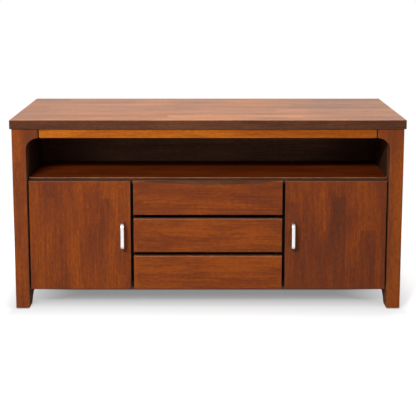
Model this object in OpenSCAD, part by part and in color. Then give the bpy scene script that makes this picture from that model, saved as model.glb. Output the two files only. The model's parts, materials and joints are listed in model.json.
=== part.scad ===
// Low sideboard in solid wood: four legs, an open bay, and a cabinet with two doors and three drawers.
// The origin lies on the floor below the middle. X runs to the right, Y to the back and Z up.
// Each piece is drawn where it sits. A joint is cut by taking one piece's shape out of its neighbour.

/* [Overall] */
// Width of the top
top_w = 1200; // [1100:10:1500]
// Depth of the top
top_d = 520; // [500:10:600]
// Height of the upper face of the top
height = 590; // [570:5:680]
// Thickness of the top
top_t = 28; // [20:1:36]
// How far the top stands past the legs on every side
top_over = 5.5; // [2:0.5:12]

/* [Legs] */
// Width of a leg, seen from the front
leg_w = 42; // [36:1:60]
// Depth of a leg, seen from the side
leg_d = 50; // [44:1:60]
// Radius of the arched bracket at the top of a front leg
bracket_r = 38; // [20:1:60]
// Diameter of a glide's disc
glide_d = 24; // [16:1:30]
// Thickness of a glide's disc
glide_t = 3; // [2:0.5:5]
// Diameter of a glide's stem
stem_d = 5; // [4:0.5:8]
// Length of a glide's stem
stem_l = 14; // [8:1:20]

/* [Rails] */
// Height of the front apron and the other top rails
rail_h = 28; // [24:1:36]
// Thickness of the rails
rail_t = 22; // [18:1:26]
// How far the apron and the rear rail lie inside the legs' faces
rail_set = 3; // [1:0.5:6]
// Length of a tenon
tenon_l = 20; // [10:1:24]
// Thickness of a tenon
tenon_t = 7; // [5:0.5:9]
// Shoulder above and below a tenon
shoulder = 5; // [3:0.5:8]
// Height of the arch under a side rail
arch_h = 30; // [20:1:40]
// Radius of the arch where it meets a leg
arch_r = 48; // [42:1:60]
// Height of a side rail's toe above the floor
toe_up = 4; // [3:0.5:10]

/* [Sides and bay] */
// Thickness of a side panel
side_t = 18; // [15:1:20]
// Depth of the grooves that hold panels and boards
house_d = 6; // [4:0.5:8]
// Height of the floor of the bay
bay_floor = 406.5; // [380:0.5:440]
// Depth of the bay, from the shelf's front edge to the back panel
bay_d = 277; // [200:1:340]
// Gap between the shelf and each leg
shelf_relief = 2.5; // [1:0.5:4]
// Width of a corner batten
batten_w = 18; // [12:1:25]
// Depth of a corner batten
batten_d = 10; // [10:1:20]

/* [Cabinet] */
// Thickness of the shelf and the bottom board
board_t = 18; // [16:1:22]
// Height of the underside of the bottom board
case_z = 60; // [50:1:70]
// Distance between the centres of the two partitions
bank_w = 466; // [400:1:520]
// Thickness of a partition
part_t = 18; // [16:1:22]
// Depth of the grooves that hold a partition's edges
part_house = 5; // [3:0.5:7]
// Thickness of the back panels
back_t = 6; // [4:0.5:9]
// How far the cabinet's back lies inside the legs' back faces
back_set = 8.5; // [4:0.5:14]
// Gap between the cabinet's front edges and the doors and drawer fronts
door_air = 3; // [3:0.5:4]

/* [Doors] */
// Thickness of the doors and drawer fronts
door_t = 18; // [16:0.5:18]
// How far the doors lie behind the front of the legs
door_set = 10; // [6:0.5:16]
// Gap between a door and its leg
door_gap = 4.1; // [4:0.1:6]
// Clearance under the doors
foot_clear = 57; // [48:1:62]
// How far doors and drawer fronts lap over the front edge of the shelf
door_lap = 10.5; // [4:0.5:12]
// Gap between a door and the drawer fronts
reveal = 9; // [4:0.5:12]

/* [Handles] */
// Distance between a handle's screws
handle_c = 76; // [64:4:96]
// Width of a handle's flat bar
handle_bar = 10; // [8:0.5:12]
// Thickness of a handle's flat bar
handle_thick = 8; // [6:0.5:10]
// How far a handle stands out from its door
handle_out = 30; // [26:1:36]
// Outer radius of a handle's two bends
handle_bend = 16; // [11:0.5:17]
// Distance from a handle's feet to the door's inner edge
handle_in = 24; // [16:1:40]
// How far a handle's centre lies above the door's centre
handle_up = 3; // [-20:1:20]
// Diameter of a handle screw
handle_screw_d = 4; // [3:0.5:4.5]
// Depth of a handle screw in the handle's foot
handle_screw_in = 8; // [6:0.5:9]

/* [Hinges] */
// Distance from a hinge pin to the door's edge
hinge_inset = 7; // [6.5:0.5:8]
// Distance from a hinge pin to the door's back face
pin_back = 10; // [10:0.1:10.4]
// Distance from a hinge to the door's end
hinge_end = 60; // [45:1:90]
// Diameter of a hinge pin
pin_d = 3; // [2.5:0.5:4]
// Diameter of a hinge arm's eye
eye_d = 9; // [7:0.5:9]
// Thickness of a hinge arm
arm_t = 3; // [2.5:0.5:4]
// Height of a hinge arm
arm_h = 14; // [12:1:18]
// Thickness of a knuckle's ear
ear_t = 3; // [2:0.5:4]
// Diameter of a knuckle's ear
ear_d = 10; // [8:0.5:10.5]
// Length of a knuckle, from the pin into the door
knuckle_l = 26; // [20:1:34]
// Distance from the pin to the knuckle's web
web_in = 6.5; // [6:0.5:9]
// Length of a hinge plate
plate_l = 32; // [26:1:44]
// Height of a hinge plate over its wings
plate_h = 46; // [42:1:56]
// Thickness of a plate's wings
wing_t = 2.5; // [2:0.5:4]
// Gap between a front leg and the hinge plates
plate_gap = 4; // [2:1:12]

/* [Catches] */
// Height of a magnetic catch
catch_h = 34; // [26:1:44]
// Width of a magnetic catch
catch_w = 14; // [10:1:18]
// Depth of a magnetic catch
catch_l = 26; // [20:1:34]
// Thickness of a catch plate on a door
catch_plate_t = 1; // [0.5:0.5:1.5]
// Gap between a catch and its plate
catch_gap = 0.3; // [0.2:0.1:0.5]
// Distance from the top of a door to the middle of its catch
catch_down = 36; // [30:1:60]

/* [Drawers] */
// Finger gap between two drawer fronts
finger_gap = 11.3; // [8:0.1:16]
// Length of a drawer's sides behind the front
drawer_l = 400; // [320:10:420]
// Height of a drawer's sides
box_h = 70; // [56:1:72]
// Height of a drawer's sides above the bottom of its front
box_up = 24; // [22:0.5:26]
// Thickness of a drawer's sides and back
box_t = 12; // [10:1:15]
// Thickness of a drawer's bottom
bottom_t = 5; // [3:0.5:6]
// Height of a drawer's bottom above the lower edge of its sides
bottom_up = 8; // [6:1:12]
// Depth of the grooves that hold a drawer's bottom
bottom_house = 5; // [3:0.5:6]
// Gap between a drawer's sides and the partitions
side_air = 1; // [0.5:0.5:2]
// Height of a runner
runner_h = 10; // [8:1:14]
// How far a runner reaches into a drawer's side
runner_in = 6; // [4:0.5:7]
// Gap between a runner and its groove
runner_air = 0.3; // [0.2:0.1:0.5]
// Distance from the cabinet's front edge to a runner
runner_set = 4; // [3:1:12]
// Width of the finger scoop on the top drawer
scoop_w = 400; // [300:10:420]
// Drop of the finger scoop on the top drawer's face
scoop_d = 13; // [8:0.5:14]

/* [Cupboards] */
// Thickness of a cupboard shelf
inner_t = 16; // [12:1:20]
// Height of a cupboard shelf above the bottom board
inner_up = 150; // [120:1:180]
// Distance from the cabinet's front edge to a cupboard shelf
inner_set = 30; // [20:1:60]
// Diameter of a shelf pin
peg_d = 5; // [4:0.5:6]
// How far a shelf pin stands out of its hole
peg_out = 8; // [6:0.5:10]
// Depth of a shelf pin's hole
peg_in = 9; // [6:0.5:11]
// Distance from a shelf's edge to its pins
peg_edge = 50; // [30:1:80]
// Rows of pin holes in each panel
peg_rows = 3; // [1:2:5]
// Distance between two rows of pin holes
peg_pitch = 32; // [16:8:32]

/* [Fixings] */
// Diameter of a wood screw
screw_d = 3.5; // [3:0.5:4]
// Diameter of a wood screw's head
screw_head_d = 7; // [6:0.5:8]
// Height of a screw's head
screw_head_h = 2; // [1.5:0.5:2.5]
// Depth of a wood screw behind the metal or the panel that it holds
screw_in = 8; // [6:0.5:9]
// Width of a top bracket
angle_w = 16; // [14:1:24]
// Length of a top bracket's two flanges
angle_l = 18; // [16:1:20]
// Thickness of a top bracket
angle_t = 1.5; // [1:0.5:2]
// Distance between the two brackets on the apron, and on the rear rail
angle_span = 600; // [300:10:800]
// Distance between two back panel screws along an edge
back_pitch = 200; // [120:10:240]
// Diameter of the screw that holds a hinge arm
clamp_d = 4; // [3:0.5:5]
// Depth of that screw in the plate
clamp_in = 7; // [5:0.5:9]

/* [Fits] */
// Radial clearance of a screw, peg or stem in its hole
hole_air = 0.05; // [0.02:0.01:0.1]
// Radial clearance of a hinge pin in its knuckle
ear_air = 0.02; // [0.01:0.01:0.04]
// Radial clearance of a hinge arm's eye on its pin
eye_air = 0.05; // [0.04:0.01:0.1]
// Gap between a hinge arm's eye and the ears beside it
ear_gap = 0.3; // [0.1:0.1:0.5]
// Gap beside a cupboard shelf
shelf_air = 1; // [0.5:0.5:2]

/* [Hidden] */
$fn = 48;

// Finishes
mahogany = [0.50, 0.25, 0.12];
dark_edge = [0.42, 0.24, 0.16];
honey = [0.70, 0.39, 0.13];
inner_wood = [0.30, 0.15, 0.07];
ply = [0.24, 0.14, 0.08];
box_wood = [0.72, 0.55, 0.36];
steel = [0.78, 0.79, 0.80];
zinc = [0.62, 0.63, 0.64];
black_plastic = [0.12, 0.11, 0.10];

// A cut runs this far past the face that it opens
past = 1;
// Three drawers, counted from the bottom up
drawers = 3;
low = 0;
mid = 1;
high = 2;
// Slope of the finger scoop, in degrees
scoop_slope = 45;
// Steps round the very large circle of the finger scoop
scoop_steps = 1440;

// Where the legs, the rails and the top stand
handle_past = max(0, handle_out - door_set - top_over);
top_front = (handle_past - top_d) / 2;
top_back = top_front + top_d;
under_top = height - top_t;
rail_z = under_top - rail_h;
leg_front = top_front + top_over;
leg_back = top_back - top_over;
leg_out = top_w / 2 - top_over;
leg_in = leg_out - leg_w;
front_leg_rear = leg_front + leg_d;
back_leg_front = leg_back - leg_d;
bracket_in = leg_in - bracket_r;
bracket_rear = leg_front + rail_set + rail_t;
bracket_z = rail_z - bracket_r;

// Where the doors, the drawer fronts and the cabinet stand
door_front = leg_front + door_set;
door_back = door_front + door_t;
case_front = door_back + door_air;
case_back = leg_back - back_set - back_t;
case_top = case_z + board_t;
shelf_z = bay_floor - board_t;
door_top = shelf_z + door_lap;
door_h = door_top - foot_clear;
bay_back = case_front + bay_d;
part_in = (bank_w - part_t) / 2;
part_out = (bank_w + part_t) / 2;
door_out_x = leg_in - door_gap;
door_in_x = (bank_w + reveal) / 2;
front_x = (bank_w - reveal) / 2;
stop_in = board_t - house_d;

// Hinges, on the left side; the right side is its mirror image
pivot_x = -(door_out_x - hinge_inset);
pivot_y = door_back - pin_back;
hinge_z = [foot_clear + hinge_end, door_top - hinge_end];
ear_z = arm_h / 2 + ear_gap;
knuckle_z = ear_z + ear_t;
plate_y = front_leg_rear + plate_gap;
arm_l = plate_y + plate_l - pivot_y;
arm_seat_x = pivot_x - arm_t / 2;
wing_screw_z = (arm_h + plate_h) / 4;
catch_z = door_top - catch_down;
catch_front = door_back + catch_plate_t + catch_gap;

// Handles, on the left side
handle_x = -(door_in_x + handle_in);
handle_z = foot_clear + door_h / 2 + handle_up;

// Drawers
front_h = (door_h - (drawers - 1) * finger_gap) / drawers;
box_x = part_in - side_air;
box_in_x = box_x - box_t;
box_back = door_back + drawer_l;
runner_y = case_front + runner_set;
runner_x = box_x - runner_in;
scoop_r = (pow(scoop_w / 2, 2) + pow(scoop_d * cos(scoop_slope), 2)) / (2 * scoop_d * cos(scoop_slope));
function drawer_z(level) = foot_clear + level * (front_h + finger_gap);
function box_z(level) = drawer_z(level) + box_up;
function runner_z(level) = box_z(level) + box_h / 2;

// Cupboards
inner_z = case_top + inner_up;
inner_front = case_front + inner_set;
inner_back = case_back - shelf_air;
peg_z = inner_z - peg_d / 2;
peg_y = [inner_front + peg_edge, inner_back - peg_edge];
peg_row_z = [for (row = [0 : peg_rows - 1]) peg_z + (row - (peg_rows - 1) / 2) * peg_pitch];

// Back panel screws, as [x, z] for the cabinet and for the bay
back_half = floor((part_out + leg_in) / 2 / back_pitch) * back_pitch + back_pitch / 2;
back_edge_x = [for (x = [-back_half : back_pitch : back_half]) if (abs(x) < leg_in - screw_head_d) x];
back_screws = concat(
    [for (x = back_edge_x) [x, shelf_z + board_t / 2]],
    [for (x = back_edge_x) [x, case_z + board_t / 2]],
    [for (side = [-1, 1]) [side * bank_w / 2, (case_top + shelf_z) / 2]]);
bay_screws = [for (side = [-1, 1]) for (z = [bay_floor + rail_h, under_top - rail_h])
    [side * (leg_in - batten_w / 2), z]];

// Top brackets, as [x, y, turn]; turn 0 stands against a face that looks to the back
angles = [
    [-angle_span / 2, bracket_rear, 0],
    [angle_span / 2, bracket_rear, 0],
    [-angle_span / 2, leg_back - rail_set - rail_t, 180],
    [angle_span / 2, leg_back - rail_set - rail_t, 180],
    [-leg_in, (front_leg_rear + bay_back) / 2, -90],
    [leg_in, (front_leg_rear + bay_back) / 2, 90]];

// Leg centres for the glides, as [x, y]
feet = [for (x = [-1, 1]) for (y = [leg_front + leg_d / 2, leg_back - leg_d / 2])
    [x * (leg_in + leg_w / 2), y]];

// General shapes

module block(from, to) {
    translate(from)
        cube(to - from);
}

module right_hand() {
    mirror([1, 0, 0])
        children();
}

module both_sides() {
    children();
    right_hand()
        children();
}

// A pan-head screw: its shank points down from the origin and its head stands above
module screw(shank_d, shank_l) {
    translate([0, 0, -shank_l])
        cylinder(d = shank_d, h = shank_l);
    cylinder(d = screw_head_d, h = screw_head_h);
}

module screw_hole(shank_d, depth) {
    translate([0, 0, -depth])
        cylinder(d = shank_d + 2 * hole_air, h = depth + past);
}

// Frame: legs, rails and side panels, on the left side

module glide_holes() {
    for (foot = feet)
        translate([foot[0], foot[1], glide_t - past])
            cylinder(d = stem_d + 2 * hole_air, h = stem_l + past);
}

module front_leg_blank() {
    block([-leg_out, leg_front, glide_t], [-leg_in, front_leg_rear, under_top]);
    difference() {
        block([-leg_in, leg_front, bracket_z], [-bracket_in, bracket_rear, under_top]);
        translate([-bracket_in, leg_front - past, bracket_z])
            rotate([-90, 0, 0])
                cylinder(r = bracket_r, h = bracket_rear - leg_front + 2 * past);
    }
}

module back_leg_blank() {
    block([-leg_out, back_leg_front, glide_t], [-leg_in, leg_back, under_top]);
}

// A rail along X with a tenon at each end
module cross_rail(half, y) {
    block([-half, y, rail_z], [half, y + rail_t, under_top]);
    block([-half - tenon_l, y + (rail_t - tenon_t) / 2, rail_z + shoulder],
        [half + tenon_l, y + (rail_t + tenon_t) / 2, under_top - shoulder]);
}

// A rail along Y with a tenon at each end
module side_rail(z, tenon_z, top_z) {
    block([-leg_in - rail_t, front_leg_rear, z], [-leg_in, back_leg_front, top_z]);
    block([-leg_in - (rail_t + tenon_t) / 2, front_leg_rear - tenon_l, tenon_z],
        [-leg_in - (rail_t - tenon_t) / 2, back_leg_front + tenon_l, top_z - shoulder]);
}

module arch_cut() {
    for (y = [front_leg_rear + arch_r, back_leg_front - arch_r])
        translate([-leg_in - rail_t - past, y, arch_h - arch_r])
            rotate([0, 90, 0])
                cylinder(r = arch_r, h = rail_t + 2 * past);
    block([-leg_in - rail_t - past, front_leg_rear + arch_r, arch_h - arch_r],
        [-leg_in + past, back_leg_front - arch_r, arch_h]);
}

module bottom_rail_shape() {
    difference() {
        side_rail(toe_up, arch_h + shoulder, case_top);
        arch_cut();
    }
}

module side_panel_shape() {
    block([-leg_in - side_t, front_leg_rear - house_d, case_top],
        [-leg_in, back_leg_front + house_d, rail_z]);
}

module side_frame_shape() {
    bottom_rail_shape();
    side_panel_shape();
    side_rail(rail_z, rail_z + shoulder, under_top);
}

module front_leg() {
    difference() {
        front_leg_blank();
        cross_rail(bracket_in, leg_front + rail_set);
        side_frame_shape();
        glide_holes();
    }
}

module back_leg() {
    difference() {
        back_leg_blank();
        cross_rail(leg_in, leg_back - rail_set - rail_t);
        side_frame_shape();
        glide_holes();
    }
}

module side_panel() {
    difference() {
        side_panel_shape();
        bay_shelf_shape();
        wing_screw_holes();
        side_peg_holes();
    }
}

// Boards and partitions

module housed_board(z, relief) {
    block([-leg_in + relief, case_front, z], [leg_in - relief, case_back, z + board_t]);
    block([-leg_in - house_d, front_leg_rear, z], [leg_in + house_d, back_leg_front, z + board_t]);
}

module bay_shelf_shape() {
    housed_board(shelf_z, shelf_relief);
}

module bottom_board_shape() {
    housed_board(case_z, 0);
}

module partition_shape() {
    block([-part_out, case_front, case_top], [-part_in, case_back, shelf_z]);
    block([-part_out, case_front + stop_in, case_top - part_house],
        [-part_in, case_back, shelf_z + part_house]);
}

module partition() {
    difference() {
        partition_shape();
        partition_peg_holes();
        back_screw_holes();
    }
}

module back_screw_holes() {
    for (spot = back_screws)
        translate([spot[0], case_back + back_t, spot[1]])
            rotate([-90, 0, 0])
                screw_hole(screw_d, back_t + screw_in);
}

module bay_screw_holes() {
    for (spot = bay_screws)
        translate([spot[0], bay_back + back_t, spot[1]])
            rotate([-90, 0, 0])
                screw_hole(screw_d, back_t + screw_in);
}

// Top brackets

module angle_place(spot) {
    translate([spot[0], spot[1], under_top])
        rotate([0, 0, spot[2]])
            children();
}

module angle_screw_places() {
    translate([0, (angle_l + angle_t) / 2, -angle_t])
        rotate([180, 0, 0])
            children();
    translate([0, angle_t, -(angle_l + angle_t) / 2])
        rotate([-90, 0, 0])
            children();
}

module angle() {
    difference() {
        union() {
            block([-angle_w / 2, 0, -angle_t], [angle_w / 2, angle_l, 0]);
            block([-angle_w / 2, 0, -angle_l], [angle_w / 2, angle_t, 0]);
        }
        angle_screw_places()
            screw_hole(screw_d, angle_t + past);
    }
}

module angle_screw_holes() {
    for (spot = angles)
        angle_place(spot)
            angle_screw_places()
                screw_hole(screw_d, angle_t + screw_in);
}

// Cupboard shelves on the left, and their pins

module inner_shelf() {
    block([-leg_in + shelf_air, inner_front, inner_z],
        [-part_out - shelf_air, inner_back, inner_z + inner_t]);
}

module pegs() {
    for (y = peg_y) {
        translate([-leg_in - peg_in, y, peg_z])
            rotate([0, 90, 0])
                cylinder(d = peg_d, h = peg_in + peg_out);
        translate([-part_out - peg_out, y, peg_z])
            rotate([0, 90, 0])
                cylinder(d = peg_d, h = peg_in + peg_out);
    }
}

module side_peg_holes() {
    for (y = peg_y)
        for (z = peg_row_z)
            translate([-leg_in - peg_in, y, z])
                rotate([0, 90, 0])
                    cylinder(d = peg_d + 2 * hole_air, h = peg_in + past);
}

module partition_peg_holes() {
    for (y = peg_y)
        for (z = peg_row_z)
            translate([-part_out - past, y, z])
                rotate([0, 90, 0])
                    cylinder(d = peg_d + 2 * hole_air, h = peg_in + past);
}

// Hinges on the left

module at_hinges() {
    for (z = hinge_z)
        translate([pivot_x, pivot_y, z])
            children();
}

module wing_screw_places() {
    for (z = hinge_z)
        for (way = [-1, 1])
            translate([-leg_in + wing_t, plate_y + plate_l / 2, z + way * wing_screw_z])
                rotate([0, 90, 0])
                    children();
}

module wing_screw_holes() {
    wing_screw_places()
        screw_hole(screw_d, wing_t + screw_in);
}

module clamp_screw_places() {
    for (z = hinge_z)
        translate([arm_seat_x + arm_t, plate_y + plate_l / 2, z])
            rotate([0, 90, 0])
                children();
}

module arms() {
    difference() {
        at_hinges() {
            difference() {
                union() {
                    cylinder(d = eye_d, h = arm_h, center = true);
                    block([-arm_t / 2, 0, -arm_h / 2], [arm_t / 2, arm_l, arm_h / 2]);
                }
                cylinder(d = pin_d + 2 * eye_air, h = arm_h + 2 * past, center = true);
            }
        }
        clamp_screw_places()
            screw_hole(clamp_d, arm_t + past);
    }
}

module plates() {
    difference() {
        for (z = hinge_z) {
            block([-leg_in, plate_y, z - arm_h / 2], [arm_seat_x, plate_y + plate_l, z + arm_h / 2]);
            block([-leg_in, plate_y, z - plate_h / 2],
                [-leg_in + wing_t, plate_y + plate_l, z + plate_h / 2]);
        }
        wing_screw_holes();
        clamp_screw_places()
            screw_hole(clamp_d, arm_t + clamp_in);
    }
}

module knuckles() {
    at_hinges()
        difference() {
            union() {
                for (way = [-1, 1])
                    translate([0, 0, way * (ear_z + knuckle_z) / 2]) {
                        cylinder(d = ear_d, h = ear_t, center = true);
                        block([0, -ear_d / 2, -ear_t / 2], [knuckle_l, pin_back, ear_t / 2]);
                    }
                block([web_in, -ear_d / 2, -knuckle_z], [knuckle_l, pin_back, knuckle_z]);
            }
            cylinder(d = pin_d + 2 * ear_air, h = 2 * (knuckle_z + past), center = true);
        }
}

module hinge_pins() {
    at_hinges()
        cylinder(d = pin_d, h = 2 * knuckle_z, center = true);
}

module knuckle_mortises() {
    at_hinges()
        block([-hinge_inset - past, -ear_d / 2, -knuckle_z], [knuckle_l, pin_back + past, knuckle_z]);
}

// Door on the left

module door_panel() {
    difference() {
        block([-door_out_x, door_front, foot_clear], [-door_in_x, door_back, door_top]);
        knuckle_mortises();
        handle_screw_places()
            screw_hole(handle_screw_d, door_t + past);
    }
}

module handle_screw_places() {
    for (way = [-1, 1])
        translate([handle_x, door_back, handle_z + way * handle_c / 2])
            rotate([-90, 0, 0])
                children();
}

// The bow of a handle, bent from flat bar, with its feet on the face of the door
module bow() {
    rotate([90, 0, -90])
        linear_extrude(handle_bar, center = true)
            difference() {
                bow_outline(0, handle_out, (handle_c + handle_thick) / 2, handle_bend);
                bow_outline(-past, handle_out - handle_thick, (handle_c - handle_thick) / 2, handle_bend - handle_thick);
                translate([-handle_bend, -handle_c])
                    square([handle_bend, 2 * handle_c]);
            }
}

// A plate from one distance to another, with its two far corners rounded
module bow_outline(from, out, rise, bend) {
    translate([from, -rise])
        square([out - bend - from, 2 * rise]);
    translate([from, bend - rise])
        square([out - from, 2 * (rise - bend)]);
    for (way = [-1, 1])
        translate([out - bend, way * (rise - bend)])
            circle(bend);
}

module handle() {
    difference() {
        translate([handle_x, door_front, handle_z])
            bow();
        handle_screw_places()
            screw_hole(handle_screw_d, door_t + handle_screw_in);
    }
}

module catch_plate() {
    block([-part_out - catch_w, door_back, catch_z - catch_h / 2],
        [-part_out, door_back + catch_plate_t, catch_z + catch_h / 2]);
}

module catch() {
    block([-part_out - catch_w, catch_front, catch_z - catch_h / 2],
        [-part_out, catch_front + catch_l, catch_z + catch_h / 2]);
}

// Drawers: the side is drawn on the left

module drawer_side_shape(level) {
    difference() {
        block([-box_x, door_back - house_d, box_z(level)],
            [-box_in_x, box_back, box_z(level) + box_h]);
        block([-box_x - past, runner_y - past, runner_z(level) - runner_h / 2 - runner_air],
            [-runner_x + runner_air, box_back + past, runner_z(level) + runner_h / 2 + runner_air]);
    }
}

module drawer_bottom_shape(level) {
    block([-box_in_x - bottom_house, door_back - bottom_house, box_z(level) + bottom_up],
        [box_in_x + bottom_house, box_back, box_z(level) + bottom_up + bottom_t]);
}

module drawer_front(level) {
    difference() {
        block([-front_x, door_front, drawer_z(level)], [front_x, door_back, drawer_z(level) + front_h]);
        both_sides()
            drawer_side_shape(level);
        drawer_bottom_shape(level);
        if (level == high)
            finger_scoop();
    }
}

// A wide, shallow bevel: part of a very large round bar that slopes up to the back
module finger_scoop() {
    reach = 3 * scoop_d;
    translate([0, door_front, door_top - scoop_d])
        rotate([-scoop_slope, 0, 0])
            translate([0, -scoop_r, -reach])
                cylinder(r = scoop_r, h = 2 * reach, $fn = scoop_steps);
}

module drawer_side(level) {
    difference() {
        drawer_side_shape(level);
        drawer_bottom_shape(level);
    }
}

module drawer_back(level) {
    block([-box_in_x, box_back - box_t, box_z(level) + bottom_up + bottom_t],
        [box_in_x, box_back, box_z(level) + box_h]);
}

module runner(level) {
    block([-part_in, runner_y, runner_z(level) - runner_h / 2],
        [-runner_x, box_back, runner_z(level) + runner_h / 2]);
}

// Pieces of the carcass

module top_panel() {
    color(dark_edge)
        difference() {
            block([-top_w / 2, top_front, under_top], [top_w / 2, top_back, height]);
            angle_screw_holes();
        }
}

module left_front_leg() {
    color(mahogany)
        front_leg();
}

module right_front_leg() {
    color(mahogany)
        right_hand()
            front_leg();
}

module left_back_leg() {
    color(mahogany)
        back_leg();
}

module right_back_leg() {
    color(mahogany)
        right_hand()
            back_leg();
}

module front_apron() {
    color(honey)
        difference() {
            cross_rail(bracket_in, leg_front + rail_set);
            angle_screw_holes();
        }
}

module rear_top_rail() {
    color(mahogany)
        difference() {
            cross_rail(leg_in, leg_back - rail_set - rail_t);
            angle_screw_holes();
        }
}

module top_side_rail() {
    difference() {
        side_rail(rail_z, rail_z + shoulder, under_top);
        angle_screw_holes();
    }
}

module left_top_rail() {
    color(mahogany)
        top_side_rail();
}

module right_top_rail() {
    color(mahogany)
        right_hand()
            top_side_rail();
}

module bottom_side_rail() {
    difference() {
        bottom_rail_shape();
        bottom_board_shape();
    }
}

module left_bottom_rail() {
    color(mahogany)
        bottom_side_rail();
}

module right_bottom_rail() {
    color(mahogany)
        right_hand()
            bottom_side_rail();
}

module left_side_panel() {
    color(mahogany)
        side_panel();
}

module right_side_panel() {
    color(mahogany)
        right_hand()
            side_panel();
}

module bay_shelf() {
    color(dark_edge)
        difference() {
            bay_shelf_shape();
            both_sides()
                partition_shape();
            back_screw_holes();
        }
}

module bay_back_panel() {
    color(ply)
        difference() {
            block([-leg_in, bay_back, bay_floor], [leg_in, bay_back + back_t, under_top]);
            bay_screw_holes();
        }
}

module bay_corner_battens() {
    color(inner_wood)
        difference() {
            both_sides()
                block([-leg_in, bay_back - batten_d, bay_floor],
                    [-leg_in + batten_w, bay_back, under_top]);
            bay_screw_holes();
        }
}

module bottom_board() {
    color(inner_wood)
        difference() {
            bottom_board_shape();
            both_sides()
                partition_shape();
            back_screw_holes();
        }
}

module left_partition() {
    color(inner_wood)
        partition();
}

module right_partition() {
    color(inner_wood)
        right_hand()
            partition();
}

module cabinet_back() {
    color(ply)
        difference() {
            block([-leg_in, case_back, case_z], [leg_in, case_back + back_t, bay_floor]);
            back_screw_holes();
        }
}

module left_cupboard_shelf() {
    color(inner_wood)
        inner_shelf();
}

module right_cupboard_shelf() {
    color(inner_wood)
        right_hand()
            inner_shelf();
}

module shelf_pins() {
    color(steel)
        both_sides()
            pegs();
}

module drawer_runners() {
    color(box_wood)
        both_sides()
            for (level = [low : high])
                runner(level);
}

module hinge_arms() {
    color(zinc)
        both_sides()
            arms();
}

module hinge_plates() {
    color(zinc)
        both_sides()
            plates();
}

module hinge_screws() {
    color(zinc)
        both_sides() {
            wing_screw_places()
                screw(screw_d, wing_t + screw_in);
            clamp_screw_places()
                screw(clamp_d, arm_t + clamp_in);
        }
}

module door_catches() {
    color(black_plastic)
        both_sides()
            catch();
}

module foot_glides() {
    color(black_plastic)
        for (foot = feet)
            translate([foot[0], foot[1], 0]) {
                cylinder(d = glide_d, h = glide_t);
                cylinder(d = stem_d, h = glide_t + stem_l);
            }
}

module top_brackets() {
    color(zinc)
        for (spot = angles)
            angle_place(spot)
                angle();
}

module top_bracket_screws() {
    color(zinc)
        for (spot = angles)
            angle_place(spot)
                angle_screw_places()
                    screw(screw_d, angle_t + screw_in);
}

module back_panel_screws() {
    color(zinc) {
        for (spot = back_screws)
            translate([spot[0], case_back + back_t, spot[1]])
                rotate([-90, 0, 0])
                    screw(screw_d, back_t + screw_in);
        for (spot = bay_screws)
            translate([spot[0], bay_back + back_t, spot[1]])
                rotate([-90, 0, 0])
                    screw(screw_d, back_t + screw_in);
    }
}

// Pieces of the doors

module left_door_panel() {
    color(mahogany)
        door_panel();
}

module left_door_handle() {
    color(steel)
        handle();
}

module left_handle_screws() {
    color(zinc)
        handle_screw_places()
            screw(handle_screw_d, door_t + handle_screw_in);
}

module left_hinge_knuckles() {
    color(zinc)
        knuckles();
}

module left_hinge_pins() {
    color(zinc)
        hinge_pins();
}

module left_catch_plate() {
    color(zinc)
        catch_plate();
}

module right_door_panel() {
    color(mahogany)
        right_hand()
            door_panel();
}

module right_door_handle() {
    color(steel)
        right_hand()
            handle();
}

module right_handle_screws() {
    color(zinc)
        right_hand()
            handle_screw_places()
                screw(handle_screw_d, door_t + handle_screw_in);
}

module right_hinge_knuckles() {
    color(zinc)
        right_hand()
            knuckles();
}

module right_hinge_pins() {
    color(zinc)
        right_hand()
            hinge_pins();
}

module right_catch_plate() {
    color(zinc)
        right_hand()
            catch_plate();
}

// Pieces of the drawers

module stained_front(level) {
    color(mahogany)
        drawer_front(level);
}

module left_box_side(level) {
    color(box_wood)
        drawer_side(level);
}

module right_box_side(level) {
    color(box_wood)
        right_hand()
            drawer_side(level);
}

module box_back_board(level) {
    color(box_wood)
        drawer_back(level);
}

module box_bottom(level) {
    color(ply)
        drawer_bottom_shape(level);
}

top_panel();
left_front_leg();
right_front_leg();
left_back_leg();
right_back_leg();
front_apron();
rear_top_rail();
left_top_rail();
right_top_rail();
left_bottom_rail();
right_bottom_rail();
left_side_panel();
right_side_panel();
bay_shelf();
bay_back_panel();
bay_corner_battens();
bottom_board();
left_partition();
right_partition();
cabinet_back();
left_cupboard_shelf();
right_cupboard_shelf();
shelf_pins();
drawer_runners();
hinge_arms();
hinge_plates();
hinge_screws();
door_catches();
foot_glides();
top_brackets();
top_bracket_screws();
back_panel_screws();
left_door_panel();
left_door_handle();
left_handle_screws();
left_hinge_knuckles();
left_hinge_pins();
left_catch_plate();
right_door_panel();
right_door_handle();
right_handle_screws();
right_hinge_knuckles();
right_hinge_pins();
right_catch_plate();
stained_front(high);  // top_drawer_front
left_box_side(high);  // top_drawer_left_side
right_box_side(high);  // top_drawer_right_side
box_back_board(high);  // top_drawer_back
box_bottom(high);  // top_drawer_bottom
stained_front(mid);  // middle_drawer_front
left_box_side(mid);  // middle_drawer_left_side
right_box_side(mid);  // middle_drawer_right_side
box_back_board(mid);  // middle_drawer_back
box_bottom(mid);  // middle_drawer_bottom
stained_front(low);  // bottom_drawer_front
left_box_side(low);  // bottom_drawer_left_side
right_box_side(low);  // bottom_drawer_right_side
box_back_board(low);  // bottom_drawer_back
box_bottom(low);  // bottom_drawer_bottom
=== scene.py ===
import json
import math

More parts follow.
